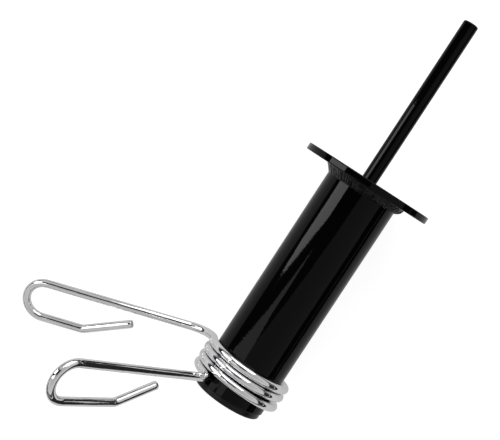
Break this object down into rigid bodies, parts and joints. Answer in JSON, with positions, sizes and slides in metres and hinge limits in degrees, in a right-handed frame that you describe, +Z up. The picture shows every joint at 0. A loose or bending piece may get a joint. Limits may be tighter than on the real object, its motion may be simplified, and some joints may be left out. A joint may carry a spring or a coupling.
{
  "type": "weight stack pin",
  "caption": "Locking pin for a selectorised weight stack: a rod, a wide stop flange and a plate sleeve with an end plug, and a sprung wire collar that holds added plates on the sleeve.",
  "frame": {"origin": "centre of the stop flange's face that the rod stands on, on the axis of the rod and the sleeve", "axes": "+X is the way the rod points, seen from above, +Z is up with the pin lying as it comes to rest, and the collar's handles reach towards +Y. The pin's own axis rises towards +X, because the flange is wider than the collar."},
  "size_m": [0.3202, 0.1923, 0.146],
  "materials": {
    "black_paint": "gloss",
    "bare_weld": "as welded",
    "black_plastic": "satin",
    "chrome_wire": "bright plated"
  },
  "bodies": {
    "welded_pin": {"pin_rod": "black_paint", "stop_flange": "black_paint", "rod_weld": "bare_weld", "sleeve_tube": "black_paint", "sleeve_weld": "black_paint", "end_plug": "black_plastic"},
    "collar": {"spring_collar": "chrome_wire"}
  },
  "joints": [
    {"name": "collar_slide", "type": "slide", "parent": "welded_pin", "child": "collar", "axis": [-0.9959, 0, -0.0901], "range_m": [-0.12, 0.036]}
  ]
}
